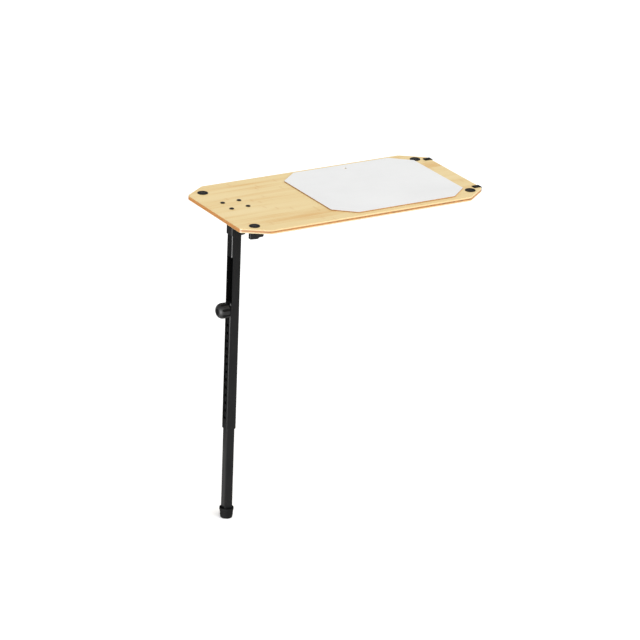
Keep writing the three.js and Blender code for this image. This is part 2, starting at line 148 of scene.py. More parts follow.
def turnedPiece(name, profile, place=(0, 0, 0), axis="Z", segments=64):
    bpy.ops.object.select_all(action="DESELECT")
    radius, height = profile[0]
    bpy.ops.mesh.primitive_circle_add(vertices=segments, radius=radius, fill_type="NGON",
                                      location=(0, 0, height))
    piece = bpy.context.object
    piece.name = name
    bpy.ops.object.transform_apply(location=True, rotation=True, scale=True)
    startEdit(piece)
    bpy.ops.mesh.select_all(action="SELECT")
    for nextRadius, nextHeight in profile[1:]:
        bpy.ops.mesh.extrude_region_move(TRANSFORM_OT_translate={"value": (0, 0, nextHeight - height)})
        ratio = nextRadius / radius
        bpy.ops.transform.resize(value=(ratio, ratio, 1), center_override=(0, 0, nextHeight))
        radius, height = nextRadius, nextHeight
    endEdit()
    facesOut(piece)
    turn = {"Z": (0, 0, 0), "-X": (0, deg(-90), 0), "-Y": (deg(90), 0, 0)}[axis]
    piece.rotation_euler = turn
    piece.location = place
    pickOnly(piece)
    bpy.ops.object.transform_apply(location=True, rotation=True, scale=True)
    return piece


# helpers for node materials

def newMaterial(name, **sockets):
    material = bpy.data.materials.new(name)
    material.use_nodes = True
    shader = material.node_tree.nodes["Principled BSDF"]
    for key, value in sockets.items():
        shader.inputs[key.replace("_", " ")].default_value = value
    return material, shader


def put(material, kind, inputs=None, **settings):
    made = material.node_tree.nodes.new(kind)
    for key, value in settings.items():
        setattr(made, key, value)
    for key, value in (inputs or {}).items():
        if isinstance(value, bpy.types.NodeSocket):
            material.node_tree.links.new(value, made.inputs[key])
        else:
            made.inputs[key].default_value = value
    return made


def join(material, source, target):
    material.node_tree.links.new(source, target)


def noiseAt(material, scale, size=1.0, detail=3.0, rough=0.55):
    place = put(material, "ShaderNodeTexCoord").outputs["Object"]
    stretched = put(material, "ShaderNodeMapping", {"Vector": place, "Scale": scale})
    return put(material, "ShaderNodeTexNoise", {
        "Vector": stretched.outputs["Vector"], "Scale": size, "Detail": detail, "Roughness": rough,
    }).outputs["Fac"]


def ramp(material, fac, *stops):
    made = put(material, "ShaderNodeValToRGB", {"Fac": fac})
    elements = made.color_ramp.elements
    while len(elements) < len(stops):
        elements.new(0.5)
    for element, (position, color) in zip(elements, stops):
        element.position = position
        element.color = (*color, 1) if len(color) == 3 else color
    return made.outputs["Color"]


def spread(material, value, low, high, fromLow=0.3, fromHigh=0.7):
    return put(material, "ShaderNodeMapRange", {
        "Value": value, "From Min": fromLow, "From Max": fromHigh, "To Min": low, "To Max": high,
    }).outputs["Result"]


def mixColor(material, fac, first, second, blend="MIX"):
    made = put(material, "ShaderNodeMix", data_type="RGBA", blend_type=blend)
    for socket, value in ((made.inputs[0], fac), (made.inputs[6], first), (made.inputs[7], second)):
        if isinstance(value, bpy.types.NodeSocket):
            join(material, value, socket)
        elif isinstance(value, (int, float)):
            socket.default_value = value
        else:
            socket.default_value = (*value, 1)
    return made.outputs[2]


def calc(material, operation, first, second=0.0, third=0.0):
    made = put(material, "ShaderNodeMath", operation=operation)
    for socket, value in zip(made.inputs, (first, second, third)):
        if isinstance(value, bpy.types.NodeSocket):
            join(material, value, socket)
        else:
            socket.default_value = value
    return made.outputs[0]


def bumpFrom(material, shader, height, strength, distance):
    made = put(material, "ShaderNodeBump", {"Height": height, "Strength": strength, "Distance": distance})
    join(material, made.outputs["Normal"], shader.inputs["Normal"])


bamboo = {
    "light": (0.825, 0.665, 0.365),
    "middle": (0.785, 0.605, 0.298),
    "warm": (0.70, 0.440, 0.165),
    "node": (0.56, 0.285, 0.08),
    "dash": (0.13, 0.055, 0.02),
    "edgeFibre": (0.5, 0.3, 0.13),
    "stripWidth": 0.0195,
    "stripWander": 0.0016,
    "nodeSpacing": 0.27,
    "nodeShift": 7.3,
    "nodeWander": 0.08,
}


def makeBambooFace():
    material, shader = newMaterial("bambooFace", Roughness=0.42, Specular_IOR_Level=0.4)
    place = put(material, "ShaderNodeTexCoord").outputs["Object"]
    split = put(material, "ShaderNodeSeparateXYZ", {"Vector": place})
    wander = noiseAt(material, (2.2, 9, 1), detail=1)
    shift = calc(material, "MULTIPLY", wander, bamboo["stripWander"])
    across = calc(material, "ADD", split.outputs["Y"], shift)
    strip = calc(material, "FLOOR", calc(material, "DIVIDE", across, bamboo["stripWidth"]))
    toneNode = put(material, "ShaderNodeTexWhiteNoise", {"W": strip}, noise_dimensions="1D")
    tone = toneNode.outputs["Value"]
    fibre = noiseAt(material, (5, 640, 90), detail=5, rough=0.62)
    streak = noiseAt(material, (1.5, 34, 4), detail=4, rough=0.6)
    patch = noiseAt(material, (3.4, 7.5, 1), detail=2)
    mixed = calc(material, "ADD", calc(material, "MULTIPLY", fibre, 0.34),
                 calc(material, "MULTIPLY", streak, 0.46))
    mixed = calc(material, "ADD", mixed, calc(material, "MULTIPLY", patch, 0.2))
    mixed = calc(material, "ADD", mixed, calc(material, "MULTIPLY", tone, 0.05))
    wood = ramp(material, mixed, (0.40, bamboo["light"]), (0.545, bamboo["middle"]),
                (0.64, bamboo["warm"]))
    along = calc(material, "ADD", calc(material, "DIVIDE", split.outputs["X"], bamboo["nodeSpacing"]),
                 calc(material, "MULTIPLY", tone, bamboo["nodeShift"]))
    along = calc(material, "ADD", along, calc(material, "MULTIPLY", patch, bamboo["nodeWander"]))
    toNode = calc(material, "ABSOLUTE", calc(material, "SUBTRACT", calc(material, "FRACT", along), 0.5))
    nodeMark = spread(material, toNode, 0.36, 0.0, 0.0, 0.018)
    nodeMark = calc(material, "MULTIPLY", nodeMark, spread(material, fibre, 0.2, 1.0))
    nodeHalo = calc(material, "MULTIPLY", spread(material, toNode, 0.22, 0.0, 0.0, 0.11),
                    spread(material, streak, 0.0, 1.0, 0.42, 0.62))
    wood = mixColor(material, nodeHalo, wood, bamboo["warm"])
    wood = mixColor(material, nodeMark, wood, bamboo["node"])
    join(material, wood, shader.inputs["Base Color"])
    join(material, spread(material, fibre, 0.36, 0.5), shader.inputs["Roughness"])
    bumpFrom(material, shader, calc(material, "ADD", fibre, calc(material, "MULTIPLY", nodeMark, 0.7)),
             0.16, 0.0004)
    return material


# plies seen on an edge: each stop is a share of the thickness, from the underside up
palePly = (0.80, 0.62, 0.34)
bambooEdges = {
    "bambooSide": {"dashes": 1.0, "plies": [
        (0.0, (0.80, 0.66, 0.42)), (0.24, (0.78, 0.62, 0.36)), (0.34, (0.58, 0.24, 0.06)),
        (0.66, (0.46, 0.17, 0.04)), (0.76, palePly),
    ]},
    "bambooEnd": {"dashes": 0.4, "plies": [
        (0.0, (0.72, 0.46, 0.14)), (0.16, (0.68, 0.34, 0.07)), (0.26, (0.66, 0.22, 0.018)),
        (0.84, (0.72, 0.28, 0.028)), (0.97, palePly),
    ]},
}


def makeBambooEdge(name):
    facts = bambooEdges[name]
    material, shader = newMaterial(name, Roughness=0.5, Specular_IOR_Level=0.35)
    low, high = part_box("tray_board")
    place = put(material, "ShaderNodeTexCoord").outputs["Object"]
    split = put(material, "ShaderNodeSeparateXYZ", {"Vector": place})
    wander = noiseAt(material, (40, 40, 1), detail=2)
    share = put(material, "ShaderNodeMapRange", {
        "Value": calc(material, "ADD", split.outputs["Z"], calc(material, "MULTIPLY", wander, 0.0008)),
        "From Min": low.z + 0.0004, "From Max": high.z + 0.0004}).outputs["Result"]
    layers = ramp(material, share, *facts["plies"])
    dashNoise = noiseAt(material, (75, 75, 900), detail=3)
    middle = spread(material, calc(material, "ABSOLUTE", calc(material, "SUBTRACT", share, 0.52)),
                    1.0, 0.0, 0.1, 0.2)
    fade = spread(material, split.outputs["X"], 0.45, 1.0, 0.1, 0.4)
    dash = calc(material, "MULTIPLY", middle, spread(material, dashNoise, 0.0, facts["dashes"], 0.48, 0.56))
    dash = calc(material, "MULTIPLY", dash, fade)
    fibre = noiseAt(material, (160, 160, 1400), detail=4)
    layers = mixColor(material, dash, layers, bamboo["dash"])
    layers = mixColor(material, spread(material, fibre, 0.0, 0.3), layers, bamboo["edgeFibre"])
    join(material, layers, shader.inputs["Base Color"])
    join(material, spread(material, fibre, 0.42, 0.62), shader.inputs["Roughness"])
    bumpFrom(material, shader, fibre, 0.3, 0.0004)
    return material


# the two browns colour the panel's side faces: partly the core's own colour, partly a painted shadow line
# along the panel's edges
panelColors = {
    "light": (0.825, 0.827, 0.822), "shade": (0.780, 0.782, 0.778), "scuff": (0.66, 0.66, 0.66),
    "coreAndShadowLine": (0.60, 0.33, 0.14), "deepCoreAndShadowLine": (0.42, 0.19, 0.065),
}


def makePanelFinish():
    material, shader = newMaterial("panelSheet", Roughness=0.34, Specular_IOR_Level=0.45)
    cloud = noiseAt(material, (6, 6, 6), detail=3)
    peel = noiseAt(material, (420, 420, 420), detail=2)
    scuff = noiseAt(material, (14, 260, 30), detail=4)
    tint = mixColor(material, spread(material, cloud, 0, 1), panelColors["light"], panelColors["shade"])
    tint = mixColor(material, spread(material, scuff, 0, 0.12, 0.6, 0.75), tint, panelColors["scuff"])
    join(material, tint, shader.inputs["Base Color"])
    join(material, spread(material, scuff, 0.3, 0.44), shader.inputs["Roughness"])
    bumpFrom(material, shader, peel, 0.05, 0.0003)
    return material


# a dark coating: colour, how rough it is, and the size and depth of its grain
coatings = {
    "paint": {"color": (0.0050, 0.0050, 0.0052), "rough": (0.28, 0.38), "grain": 1500, "depth": 0.1,
              "specular": 0.13, "metallic": 0.0},
    "paintEdge": {"color": (0.012, 0.012, 0.013), "rough": (0.30, 0.44), "grain": 900, "depth": 0.1,
                  "specular": 0.3, "metallic": 0.0},
    "plastic": {"color": (0.0060, 0.0060, 0.0066), "rough": (0.46, 0.6), "grain": 2100, "depth": 0.2,
                "specular": 0.12, "metallic": 0.0},
    "plasticEdge": {"color": (0.014, 0.014, 0.0155), "rough": (0.34, 0.46), "grain": 2100, "depth": 0.15,
                    "specular": 0.35, "metallic": 0.0},
    "lever": {"color": (0.0075, 0.0078, 0.0100), "rough": (0.44, 0.56), "grain": 1900, "depth": 0.2,
              "specular": 0.18, "metallic": 0.0},
    "knob": {"color": (0.0085, 0.0085, 0.0090), "rough": (0.48, 0.60), "grain": 1700, "depth": 0.2,
             "specular": 0.2, "metallic": 0.0},
    # the darkest coating: the knob cap's own black, and also painted shade on the knob's groove faces and on
    # the lower tube's notched band
    "dark": {"color": (0.0022, 0.0022, 0.0023), "rough": (0.5, 0.65), "grain": 1700, "depth": 0.15,
             "specular": 0.08, "metallic": 0.0},
    "clip": {"color": (0.0022, 0.0022, 0.0024), "rough": (0.42, 0.55), "grain": 1500, "depth": 0.1,
             "specular": 0.05, "metallic": 0.0},
    "rubber": {"color": (0.0045, 0.0045, 0.0045), "rough": (0.62, 0.8), "grain": 900, "depth": 0.35,
               "specular": 0.08, "metallic": 0.0},
    "screw": {"color": (0.020, 0.018, 0.016), "rough": (0.36, 0.5), "grain": 700, "depth": 0.1,
              "specular": 0.2, "metallic": 0.35},
    "zinc": {"color": (0.56, 0.565, 0.57), "rough": (0.24, 0.40), "grain": 600, "depth": 0.08,
             "specular": 0.5, "metallic": 1.0},
    "nylon": {"color": (0.70, 0.68, 0.62), "rough": (0.42, 0.55), "grain": 1200, "depth": 0.12,
              "specular": 0.4, "metallic": 0.0},
}


def makeCoating(name):
    facts = coatings[name]
    material, shader = newMaterial(name + "Finish", Metallic=facts["metallic"],
                                   Specular_IOR_Level=facts["specular"])
    color = facts["color"]
    dust = noiseAt(material, (22, 22, 9), detail=5, rough=0.65)
    grain = noiseAt(material, (facts["grain"],) * 3, detail=2)
    rub = noiseAt(material, (60, 60, 14), detail=4)
    lighter = tuple(min(1, c * 1.35 + 0.002) for c in color)
    tint = mixColor(material, spread(material, dust, 0, 1), color, lighter)
    join(material, tint, shader.inputs["Base Color"])
    join(material, spread(material, rub, *facts["rough"]), shader.inputs["Roughness"])
    bumpFrom(material, shader, grain, facts["depth"], 0.00012)
    return material


finish = {name: makeCoating(name) for name in coatings}
bambooFace = makeBambooFace()
bambooSide = makeBambooEdge("bambooSide")
bambooEnd = makeBambooEdge("bambooEnd")
panelFinish = makePanelFinish()


# brown for the panel's side faces, partly the core's own colour and partly a painted shadow line at the
# panel's edges
def makePanelCoreAndShadow():
    material, shader = newMaterial("panelCoreAndShadow", Roughness=0.6, Specular_IOR_Level=0.2)
    fibre = noiseAt(material, (90, 90, 1500), detail=4)
    tint = mixColor(material, spread(material, fibre, 0, 1), panelColors["coreAndShadowLine"], panelColors["deepCoreAndShadowLine"])
    join(material, tint, shader.inputs["Base Color"])
    join(material, spread(material, fibre, 0.5, 0.7), shader.inputs["Roughness"])
    bumpFrom(material, shader, fibre, 0.25, 0.0003)
    return material


panelCoreAndShadow = makePanelCoreAndShadow()
print("materials made", len(bpy.data.materials))

slotFinish = {
    "black_paint": "paint", "black_plastic": "plastic", "black_screw": "screw",
    "zinc_steel": "zinc", "nylon": "nylon", "rubber": "rubber",
}
for part in frame["record"]["subparts"]:
    kept = finish.get(slotFinish.get(part["material_slot"]), bambooFace)
    dress(nodes[part["node"]], kept)


# cuts are lengths along x and y in mm, everything else is in metres

board = {
    "cuts": {"nearLeft": (70, 46), "nearRight": (68, 52.2), "farRight": (67, 48.3), "farLeft": (68, 49)},
    "corner": 0.006, "edge": 0.0013,
}
sheet = {
    "cuts": {"nearLeft": (57, 48), "nearRight": (57, 48), "farRight": (57, 48), "farLeft": (57, 48)},
    "corner": 0.003, "edge": 0.0006, "hole": (0.417, 0.125), "holeRadius": 0.0045,
}


def cutCornerBoard(name, node, facts):
    low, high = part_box(node)
    piece = addPlane(name, low.x, high.x, low.y, high.y, low.z)
    sides = {"nearLeft": (low.x, low.y, 1, 1), "nearRight": (high.x, low.y, -1, 1),
             "farRight": (high.x, high.y, -1, -1), "farLeft": (low.x, high.y, 1, -1)}
    startEdit(piece)
    for corner, (x, y, inX, inY) in sides.items():
        cutX, cutY = (size * mm for size in facts["cuts"][corner])
        bpy.ops.mesh.select_all(action="SELECT")
        bpy.ops.mesh.bisect(plane_co=(x + inX * cutX, y, low.z), plane_no=(-inX * cutY, -inY * cutX, 0),
                            clear_outer=True)
    bpy.ops.mesh.select_mode(type="VERT")
    bpy.ops.mesh.select_all(action="SELECT")
    bpy.ops.mesh.bevel(offset=facts["corner"], segments=4, affect="VERTICES")
    bpy.ops.mesh.select_mode(type="FACE")
    bpy.ops.mesh.select_all(action="SELECT")
    bpy.ops.mesh.extrude_region_move(TRANSFORM_OT_translate={"value": (0, 0, high.z - low.z)})
    endEdit()
    facesOut(piece)
    return piece


def makeTray():
    piece = cutCornerBoard("trayBoard", "tray_board", board)
    easeEdges(piece, board["edge"], 3, 60)
    dress(piece, [bambooFace, bambooSide, bambooEnd])
    for face in piece.data.polygons:
        if abs(face.normal.z) < 0.3:
            face.material_index = 2 if abs(face.normal.x) > 0.9 else 1
    smooth(piece)
    settle(piece, "tray_top", "bamboo", "tray_board")


def makeSheet():
    piece = cutCornerBoard("panelSheetPiece", "writing_panel", sheet)
    x, y = sheet["hole"]
    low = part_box("writing_panel")[0]
    hole = turnedPiece("holeCutter", [(sheet["holeRadius"], -0.01), (sheet["holeRadius"], 0.02)],
                       (x, y, low.z), segments=40)
    cutAway(piece, hole)
    easeEdges(piece, sheet["edge"], 3, 60)
    dress(piece, [panelFinish, panelCoreAndShadow])
    # side faces away from the hole take the brown, partly core colour and partly a painted shadow line
    for face in piece.data.polygons:
        fromHole = math.hypot(face.center.x - x, face.center.y - y)
        if abs(face.normal.z) < 0.5 and fromHole > 2 * sheet["holeRadius"]:
            face.material_index = 1
    smooth(piece)
    settle(piece, "writing_panel", "white_board", "writing_panel")


makeTray()
makeSheet()
print("boards made")


# pads, screws and bolts on the tray, the first modelled and the rest copied

corners = ("near_left", "near_right", "far_left", "far_right")
padScrew = {"shank": 0.0022, "crossArm": 0.0030, "crossHalf": 0.00055, "crossDepth": 0.0008}
bolt = {"shank": 0.003, "head": 0.0026, "socket": 0.00225, "socketFloor": 0.001}


def labelOf(corner):
    return corner.replace("_", " ").title().replace(" ", "")


def crossCutter(place, facts):
    x, y, z = place
    arm, half, depth = facts["crossArm"], facts["crossHalf"], facts["crossDepth"]
    across = addBlock("crossCutter", (x - arm, y - half, z - depth), (x + arm, y + half, z + 0.002))
    other = addBlock("crossCutter2", (x - half, y - arm, z - depth), (x + half, y + arm, z + 0.002))
    return across, other


def middleOf(node):
    low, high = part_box(node)
    return (low + high) / 2


def makePads():
    first = "corner_pad_" + corners[0]
    low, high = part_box(first)
    centre = middleOf(first)
    tall = high.z - low.z
    radius = (high.x - low.x) / 2
    pad = turnedPiece("cornerPadNearLeft", [
        (radius - 0.0004, 0), (radius, 0.0004), (radius, tall - 0.0007), (radius - 0.0003, tall - 0.0002),
        (radius - 0.0008, tall), (0.0118, tall), (0.0114, tall - 0.0003), (0.0108, tall - 0.0003),
        (0.0104, tall), (0.0084, tall), (0.0078, tall - 0.0001), (0.0064, tall - 0.0005),
        (0.0052, tall - 0.0006),
    ], (centre.x, centre.y, low.z), segments=72)
    dress(pad, finish["plastic"])
    smooth(pad)
    screwLow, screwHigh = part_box("corner_screw_" + corners[0])
    top = screwHigh.z
    shank = padScrew["shank"]
    screw = turnedPiece("cornerScrewNearLeft", [
        (0.0011, screwLow.z - top), (shank, screwLow.z - top + 0.002), (shank, -0.0011), (0.0051, -0.0004),
        (0.0052, -0.0003), (0.0048, -0.0001), (0.0036, 0), (0.0012, 0),
    ], (centre.x, centre.y, top), segments=48)
    cutAway(screw, *crossCutter((centre.x, centre.y, top), padScrew))
    dress(screw, finish["screw"])
    smooth(screw, 30)
    for corner in corners:
        offset = middleOf("corner_pad_" + corner) - centre
        offset.z = 0
        padHere, screwHere = pad, screw
        if corner != corners[0]:
            padHere = copyTo(pad, "cornerPad" + labelOf(corner), offset)
            screwHere = copyTo(screw, "cornerScrew" + labelOf(corner), offset)
        settle(padHere, "tray_top", "black_plastic", "corner_pad_" + corner)
        settle(screwHere, "tray_top", "black_screw", "corner_screw_" + corner)


def makeBolts():
    first = "plate_bolt_" + corners[0]
    low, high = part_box(first)
    centre = middleOf(first)
    head, shank, socket = bolt["head"], bolt["shank"], bolt["socket"]
    seat = high.z - head
    radius = (high.x - low.x) / 2
    firstBolt = turnedPiece("plateBoltNearLeft", [
        (0.0023, low.z - seat), (shank, low.z - seat + 0.0007), (shank, 0), (radius - 0.0003, 0),
        (radius, 0.0003), (radius, 0.0007), (radius * 0.96, 0.00125), (radius * 0.85, 0.0018),
        (radius * 0.66, 0.00228), (radius * 0.45, 0.00255), (radius * 0.2, head),
    ], (centre.x, centre.y, seat), segments=48)
    cutter = turnedPiece("socketCutter", [(socket, bolt["socketFloor"]), (socket, 0.01)],
                         (centre.x, centre.y, seat), segments=6)
    cutAway(firstBolt, cutter)
    dress(firstBolt, finish["screw"])
    smooth(firstBolt, 30)
    for corner in corners:
        here = firstBolt
        if corner != corners[0]:
            offset = middleOf("plate_bolt_" + corner) - centre
            here = copyTo(firstBolt, "plateBolt" + labelOf(corner), offset)
        settle(here, "tray_top", "black_screw", "plate_bolt_" + corner)


makePads()
makeBolts()
print("tray fittings made")


# clips folded round the free end

clip = {"thickness": 0.002, "cornerBend": 0.0009, "hole": 0.0025, "edge": 0.0003}
clipScrew = {"shank": 0.0022, "crossArm": 0.0026, "crossHalf": 0.0005, "crossDepth": 0.0007}


def makeClip(where):
    node = "edge_clip_" + where
    low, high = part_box(node)
    thickness = clip["thickness"]
    inset = 0.0001
    piece = addPlane("edgeClip" + where.title(), low.x, high.x - thickness, low.y, high.y,
                     high.z - thickness)
    startEdit(piece, "EDGE")
    bpy.ops.mesh.select_all(action="DESELECT")
    endEdit()
    for edge in piece.data.edges:
        ends = [piece.data.vertices[v].co.x for v in edge.vertices]
        edge.select = min(ends) > high.x - thickness - inset
    startEdit(piece, "EDGE")
    drop = low.z + thickness - (high.z - thickness)
    bpy.ops.mesh.extrude_region_move(TRANSFORM_OT_translate={"value": (0, 0, drop)})
    bpy.ops.mesh.extrude_region_move(TRANSFORM_OT_translate={"value": (low.x - high.x + thickness, 0, 0)})
    endEdit()
    facesOut(piece)
    for edge in piece.data.edges:
        first, second = (piece.data.vertices[v].co for v in edge.vertices)
        edge.select = min(first.x, second.x) > high.x - thickness - inset and abs(first.z - second.z) < inset
    startEdit(piece, "EDGE")
    bpy.ops.mesh.bevel(offset=clip["cornerBend"], segments=4, affect="EDGES")
    endEdit()
    topFace = max(piece.data.polygons, key=lambda face: face.center.z)
    outward = 1 if topFace.normal.z > 0 else -1
    useModifier(piece, "SOLIDIFY", thickness=thickness, offset=outward, use_even_offset=True)
    centre = middleOf("clip_screw_" + where)
    hole = turnedPiece("clipHoleCutter", [(clip["hole"], -0.004), (clip["hole"], 0.004)],
                       (centre.x, centre.y, high.z), segments=32)
    cutAway(piece, hole)
    easeEdges(piece, clip["edge"], 2, 50, 1)
    dress(piece, [finish["clip"], finish["paintEdge"]])
    smooth(piece)
    settle(piece, "tray_top", "black_paint", node)
    screwLow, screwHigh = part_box("clip_screw_" + where)
    top = screwHigh.z
    shank = clipScrew["shank"]
    screw = turnedPiece("clipScrew" + where.title(), [
        (0.0014, screwLow.z - top), (shank, screwLow.z - top + 0.002), (shank, -0.0012), (0.0047, -0.0010),
        (0.0048, -0.0008), (0.0044, -0.0005), (0.0034, -0.0002), (0.0016, 0),
    ], (centre.x, centre.y, top), segments=40)
    cutAway(screw, *crossCutter((centre.x, centre.y, top), clipScrew))
    dress(screw, finish["screw"])
    smooth(screw, 30)
    settle(screw, "tray_top", "black_screw", "clip_screw_" + where)


for where in ("near", "far"):
    makeClip(where)
print("clips made")


# a slot is near, far, bottom, top and depth

upperTube = {"wall": 0.0012, "corner": 0.005, "edge": 0.0003, "slotRound": 0.002,
             "lockHole": 0.0063, "pinHole": 0.0028,
             "upperSlot": (-0.016, 0.0075, 0.640, 0.7725, 0.0044),
             "lowerSlot": (-0.00725, 0.00725, 0.2975, 0.5935, 0.0022)}
# the last entry of lowerTube is the height above which the notched band on the left face takes painted shade
lowerTube = {"wall": 0.0015, "corner": 0.004, "edge": 0.0003, "rungPitch": 0.0228, "rungs": 15,
             "rungWidth": 0.012, "rungHeight": 0.008, "rungDepth": 0.0025, "rungRound": 0.0012,
             "paintedShadeBottom": 0.287}
lockHeight = middleOf("plunger_housing").z


def squareTubePiece(name, node, facts):
    low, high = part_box(node)
    piece = addPlane(name, low.x, high.x, low.y, high.y, low.z)
    startEdit(piece, "VERT")
    bpy.ops.mesh.select_all(action="SELECT")
    bpy.ops.mesh.bevel(offset=facts["corner"], segments=8, affect="VERTICES")
    bpy.ops.mesh.select_mode(type="FACE")
    bpy.ops.mesh.select_all(action="SELECT")
    bpy.ops.mesh.inset(thickness=facts["wall"])
    bpy.ops.mesh.delete(type="ONLY_FACE")
    bpy.ops.mesh.select_all(action="SELECT")
    bpy.ops.mesh.extrude_region_move(TRANSFORM_OT_translate={"value": (0, 0, high.z - low.z)})
    endEdit()
    facesOut(piece)
    return piece


def slotCutter(name, leftFace, near, far, bottom, top, depth, roundEnd):
    cutter = addBlock(name, (leftFace - 0.002, near, bottom), (leftFace + depth, far, top))
    if roundEnd:
        for edge in cutter.data.edges:
            first, second = (cutter.data.vertices[v].co for v in edge.vertices)
            edge.select = abs(first.x - second.x) > 0.001
        startEdit(cutter, "EDGE")
        bpy.ops.mesh.bevel(offset=roundEnd, segments=4, affect="EDGES")
        endEdit()
    return cutter


def makeUpperTube():
    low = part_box("outer_tube")[0]
    piece = squareTubePiece("upperTube", "outer_tube", upperTube)
    near, far, bottom, top, depth = upperTube["upperSlot"]
    cutAway(piece, slotCutter("upperSlot", low.x, near, far, bottom, top, depth, 0))
    near, far, bottom, top, depth = upperTube["lowerSlot"]
    cutAway(piece, slotCutter("lowerSlot", low.x, near, far, bottom, top, depth, upperTube["slotRound"]))
    size = upperTube["lockHole"]
    hole = turnedPiece("lockHoleCutter", [(size, 0.010), (size, 0.020)], (0, 0, lockHeight), "-X", 40)
    size = upperTube["pinHole"]
    pinHeight = middleOf("head_pin").z
    pinHole = turnedPiece("pinHoleCutter", [(size, -0.03), (size, 0.03)], (0, 0, pinHeight), "-Y", 24)
    cutAway(piece, hole, pinHole)
    easeEdges(piece, upperTube["edge"], 2, 60, 1)
    dress(piece, [finish["paint"], finish["paintEdge"]])
    smooth(piece)
    settle(piece, "upper_leg", "black_paint", "outer_tube")


def makeLowerTube():
    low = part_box("inner_tube")[0]
    piece = squareTubePiece("lowerTube", "inner_tube", lowerTube)
    halfWidth = lowerTube["rungWidth"] / 2
    halfHeight = lowerTube["rungHeight"] / 2
    cutters = []
    for i in range(lowerTube["rungs"]):
        z = lockHeight - i * lowerTube["rungPitch"]
        cutters.append(slotCutter(f"rung{i}", low.x, -halfWidth, halfWidth, z - halfHeight, z + halfHeight,
                                  lowerTube["rungDepth"], lowerTube["rungRound"]))
    bpy.ops.object.select_all(action="DESELECT")
    for cutter in cutters:
        cutter.select_set(True)
    bpy.context.view_layer.objects.active = cutters[0]
    bpy.ops.object.join()
    cutAway(piece, cutters[0])
    easeEdges(piece, lowerTube["edge"], 2, 60, 1)
    # cut the faces at the height where the painted shade on the notched band starts
    startEdit(piece)
    bpy.ops.mesh.select_all(action="SELECT")
    bpy.ops.mesh.bisect(plane_co=(0, 0, lowerTube["paintedShadeBottom"]), plane_no=(0, 0, 1))
    endEdit()
    # the notched band on the left face, above the cut, gets the dark finish: painted shade standing in for
    # the shadow in the narrow slot it is seen through
    dress(piece, [finish["paint"], finish["paintEdge"], finish["dark"]])
    for face in piece.data.polygons:
        notchedShade = face.center.x < low.x + 0.003 and abs(face.center.y) < halfWidth + 0.003
        if notchedShade and face.center.z > lowerTube["paintedShadeBottom"]:
            face.material_index = 2
    smooth(piece)
    settle(piece, "lower_leg", "black_paint", "inner_tube")


makeUpperTube()
makeLowerTube()
print("tubes made")


# the knob on the leg and its foot

heightKnob = {"grooves": 8, "grooveRadius": 0.0036, "grooveOut": 0.0006, "grooveLength": 0.025,
              "fullLength": 0.0165, "hollow": 0.0099, "hollowLength": 0.0174}


def makeHeightKnob():
    low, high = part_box("height_knob")
    rear, front = -high.x, -low.x
    radius = (high.z - low.z) / 2
    profile = [
        (radius - 0.001, rear), (radius - 0.0003, rear + 0.0003), (radius, rear + 0.001),
        (radius, rear + 0.007), (radius, rear + 0.014), (radius - 0.0005, rear + 0.0165),
        (radius - 0.0012, rear + 0.0187), (radius - 0.0020, rear + 0.0207), (radius - 0.0031, rear + 0.0225),
        (radius - 0.0044, rear + 0.0243), (radius - 0.0059, rear + 0.0258), (radius - 0.0074, rear + 0.0271),
        (radius - 0.0089, front - 0.0009), (radius - 0.0101, front - 0.0002), (radius - 0.0112, front),
        (0.0087, front), (0.0082, front - 0.0004), (0.0079, front - 0.0026), (0.003, front - 0.0026),
    ]
    piece = turnedPiece("heightKnobPiece", profile, (0, 0, lockHeight), "-X", 96)
    grooves = []
    for i in range(heightKnob["grooves"]):
        angle = (i + 0.5) / heightKnob["grooves"] * math.tau
        reach = radius + heightKnob["grooveOut"]
        place = (0, reach * math.cos(angle), lockHeight + reach * math.sin(angle))
        tip = rear + heightKnob["grooveLength"]
        size = heightKnob["grooveRadius"]
        grooves.append(turnedPiece(f"groove{i}", [
            (size, rear - 0.001), (size, tip - 0.0018), (size * 0.8, tip - 0.0008), (size * 0.4, tip),
        ], place, "-X", 20))
    size = heightKnob["hollow"]
    hollow = turnedPiece("hollowCutter", [(size, rear - 0.001), (size, rear + heightKnob["hollowLength"])],
                         (0, 0, lockHeight), "-X", 48)
    cutAway(piece, *grooves, hollow)
    dress(piece, [finish["knob"], finish["dark"]])
    # the groove faces and the rear face of the full-width section get the dark finish: painted shade
    # standing in for the shadow in the grooves
    for face in piece.data.polygons:
        across = Vector((0, face.center.y, face.center.z - lockHeight))
        bare = -face.center.x < rear + heightKnob["fullLength"]
        if bare and across.length < radius - 0.0009 and across.normalized().dot(face.normal) > -0.2:
            face.material_index = 1
    smooth(piece, 34)
    settle(piece, "height_knob", "black_plastic", "height_knob")
    capLow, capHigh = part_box("height_knob_cap")
    back, front = -capHigh.x, -capLow.x
    capRadius = (capHigh.z - capLow.z) / 2
    cap = turnedPiece("heightKnobCap", [
        (capRadius, back), (capRadius, front - 0.0005), (capRadius - 0.0003, front - 0.0002),
        (capRadius - 0.0008, front), (capRadius * 0.72, front), (capRadius * 0.66, front - 0.0003),
        (capRadius * 0.6, front - 0.0003), (capRadius * 0.54, front), (capRadius * 0.2, front),
    ], (0, 0, lockHeight), "-X", 64)
    dress(cap, finish["dark"])
    smooth(cap, 34)
    settle(cap, "height_knob", "black_plastic", "height_knob_cap")


foot = {"wall": 0.002, "floor": 0.008, "flare": 0.0030,
        "rings": 3, "ringBottom": 0.0095, "ringPitch": 0.0042, "slope": 0.10}


